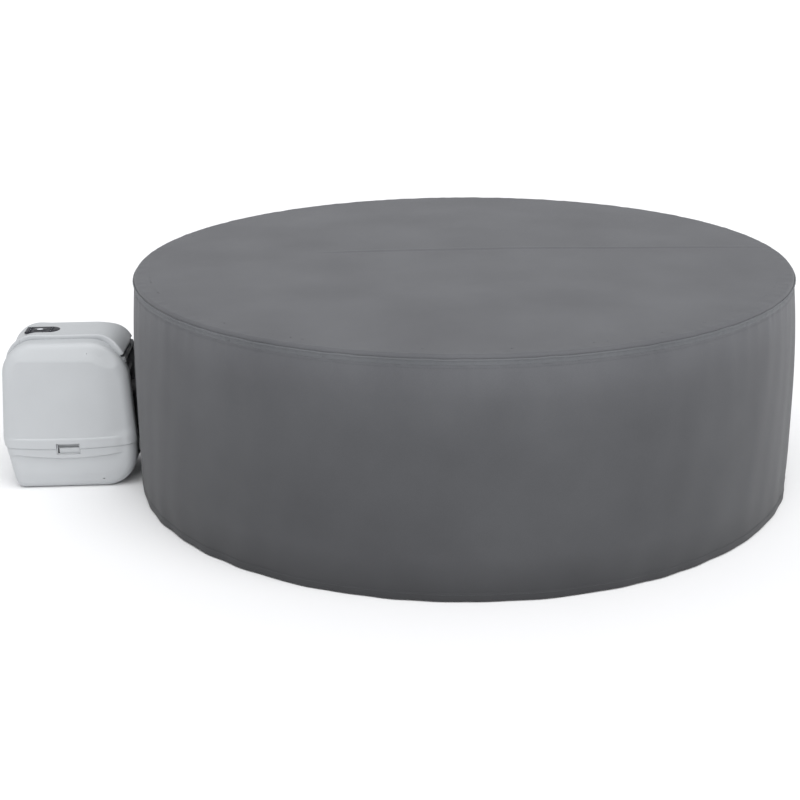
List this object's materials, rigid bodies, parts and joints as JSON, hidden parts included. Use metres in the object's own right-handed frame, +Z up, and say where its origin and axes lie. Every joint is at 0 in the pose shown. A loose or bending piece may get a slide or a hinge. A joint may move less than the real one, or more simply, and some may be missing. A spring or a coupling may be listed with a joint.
{
  "type": "inflatable hot tub",
  "caption": "Round inflatable hot tub closed by a lid and a fitted outdoor fabric cover, joined by pipe couplings to a free-standing pump, heater and air blower unit.",
  "frame": {"origin": "centre of the tub's underside, on the ground", "axes": "+Z up; the pump unit stands on the -X side of the tub"},
  "size_m": [2.4123, 2.007, 0.6705],
  "materials": {
    "cover_cloth": "coated woven polyester, matt",
    "tub_sheet": "laminated PVC, satin",
    "bath_sheet": "PVC, satin",
    "lid_sheet": "coated cloth, matt",
    "case_shell": "fine moulded satin",
    "gloss_black": "gloss",
    "pale_plastic": "satin",
    "dark_plastic": "satin",
    "filter_paper": "pleated, matt",
    "steel": "brushed",
    "rubber": "matt",
    "board": "satin"
  },
  "bodies": {
    "tub": {"outer_wall": "tub_sheet", "rim_band": "tub_sheet", "wall_webs": "tub_sheet", "inner_wall": "bath_sheet", "floor_sheet": "bath_sheet", "bubble_channel": "bath_sheet", "pump_base": "case_shell", "near_side_shell": "case_shell", "far_side_shell": "case_shell", "front_cowl": "case_shell", "top_strip": "case_shell", "control_panel": "gloss_black", "display_lens": "gloss_black", "suction_pipe": "pale_plastic", "return_pipe": "pale_plastic", "air_pipe": "pale_plastic", "filter_housing": "pale_plastic", "return_nozzle": "pale_plastic", "air_valve": "pale_plastic", "drain_valve": "pale_plastic", "rear_panel": "dark_plastic", "pump_volute": "dark_plastic", "blower_housing": "dark_plastic", "buckle_socket_1": "dark_plastic", "buckle_socket_2": "dark_plastic", "buckle_socket_3": "dark_plastic", "buckle_socket_4": "dark_plastic", "pump_motor": "steel", "heater_tube": "steel", "blower_motor": "steel", "cable_gland": "rubber", "transfer_hose": "rubber", "circuit_board": "board"},
    "cover": {"cover_top": "cover_cloth", "cover_skirt": "cover_cloth", "cover_seam": "cover_cloth"},
    "spa_lid": {"lid_top": "lid_sheet", "lid_valance": "lid_sheet", "lid_air_core": "bath_sheet", "lid_buckle_1": "dark_plastic", "lid_buckle_2": "dark_plastic", "lid_buckle_3": "dark_plastic", "lid_buckle_4": "dark_plastic"},
    "suction_coupling": {"suction_nut": "dark_plastic"},
    "return_coupling": {"return_nut": "dark_plastic"},
    "air_coupling": {"air_nut": "dark_plastic"},
    "filter": {"filter_cap": "pale_plastic", "filter_cartridge": "filter_paper"},
    "air_cap": {"air_valve_cap": "dark_plastic"},
    "drain_cap": {"drain_valve_cap": "dark_plastic"},
    "near_catch": {"near_latch": "pale_plastic"},
    "far_catch": {"far_latch": "pale_plastic"},
    "pump_impeller": {"impeller": "pale_plastic"},
    "air_fan": {"blower_fan": "pale_plastic"},
    "key_power": {"button_power": "gloss_black"},
    "key_heater": {"button_heater": "gloss_black"},
    "key_timer": {"button_timer": "gloss_black"},
    "key_bubbles": {"button_bubbles": "gloss_black"},
    "key_filter": {"button_filter": "gloss_black"},
    "key_lock": {"button_lock": "gloss_black"}
  },
  "joints": [
    {"name": "cover_lift", "type": "slide", "parent": "tub", "child": "cover", "axis": [0, 0, 1], "range_m": [0, 1.5]},
    {"name": "lid_lift", "type": "slide", "parent": "tub", "child": "spa_lid", "axis": [0, 0, 1], "range_m": [0, 0.75]},
    {"name": "suction_nut_turn", "type": "hinge", "parent": "tub", "child": "suction_coupling", "pos_m": [-1.027, 0.042, 0.105], "axis": [1, 0, 0], "continuous": true},
    {"name": "return_nut_turn", "type": "hinge", "parent": "tub", "child": "return_coupling", "pos_m": [-1.027, -0.042, 0.105], "axis": [1, 0, 0], "continuous": true},
    {"name": "air_nut_turn", "type": "hinge", "parent": "tub", "child": "air_coupling", "pos_m": [-1.027, 0, 0.275], "axis": [1, 0, 0], "continuous": true},
    {"name": "filter_pull", "type": "slide", "parent": "tub", "child": "filter", "axis": [1, 0, 0], "range_m": [0, 0.15]},
    {"name": "air_cap_turn", "type": "hinge", "parent": "tub", "child": "air_cap", "pos_m": [-0.86873, 0.44264, 0.33], "axis": [-0.891, 0.454, 0], "continuous": true},
    {"name": "drain_cap_turn", "type": "hinge", "parent": "tub", "child": "drain_cap", "pos_m": [-0.68589, 0.68589, 0.07], "axis": [-0.7071, 0.7071, 0], "continuous": true},
    {"name": "near_latch_tilt", "type": "hinge", "parent": "tub", "child": "near_catch", "pos_m": [-1.21, -0.136, 0.1165], "axis": [1, 0, 0], "range_deg": [0, 15], "stiffness_Nm_per_rad": 0.1, "springref_deg": -5.73},
    {"name": "far_latch_tilt", "type": "hinge", "parent": "tub", "child": "far_catch", "pos_m": [-1.21, 0.136, 0.1165], "axis": [-1, 0, 0], "range_deg": [0, 15], "stiffness_Nm_per_rad": 0.1, "springref_deg": -5.73},
    {"name": "impeller_spin", "type": "hinge", "parent": "tub", "child": "pump_impeller", "pos_m": [-1.131, 0.042, 0.105], "axis": [1, 0, 0], "continuous": true},
    {"name": "fan_spin", "type": "hinge", "parent": "tub", "child": "air_fan", "pos_m": [-1.196, 0, 0.275], "axis": [0, 0, 1], "continuous": true},
    {"name": "power_press", "type": "slide", "parent": "tub", "child": "key_power", "axis": [0, 0, -1], "range_m": [0, 0.0015], "stiffness_N_per_m": 300, "springref_m": -0.001},
    {"name": "heater_press", "type": "slide", "parent": "tub", "child": "key_heater", "axis": [0, 0, -1], "range_m": [0, 0.0015], "stiffness_N_per_m": 300, "springref_m": -0.001},
    {"name": "timer_press", "type": "slide", "parent": "tub", "child": "key_timer", "axis": [0, 0, -1], "range_m": [0, 0.0015], "stiffness_N_per_m": 300, "springref_m": -0.001},
    {"name": "bubbles_press", "type": "slide", "parent": "tub", "child": "key_bubbles", "axis": [0, 0, -1], "range_m": [0, 0.0015], "stiffness_N_per_m": 300, "springref_m": -0.001},
    {"name": "filter_press", "type": "slide", "parent": "tub", "child": "key_filter", "axis": [0, 0, -1], "range_m": [0, 0.0015], "stiffness_N_per_m": 300, "springref_m": -0.001},
    {"name": "lock_press", "type": "slide", "parent": "tub", "child": "key_lock", "axis": [0, 0, -1], "range_m": [0, 0.0015], "stiffness_N_per_m": 300, "springref_m": -0.001}
  ],
  "couplings": [
    {"joint": "lid_lift", "follows": "cover_lift", "ratio": 0.5}
  ]
}
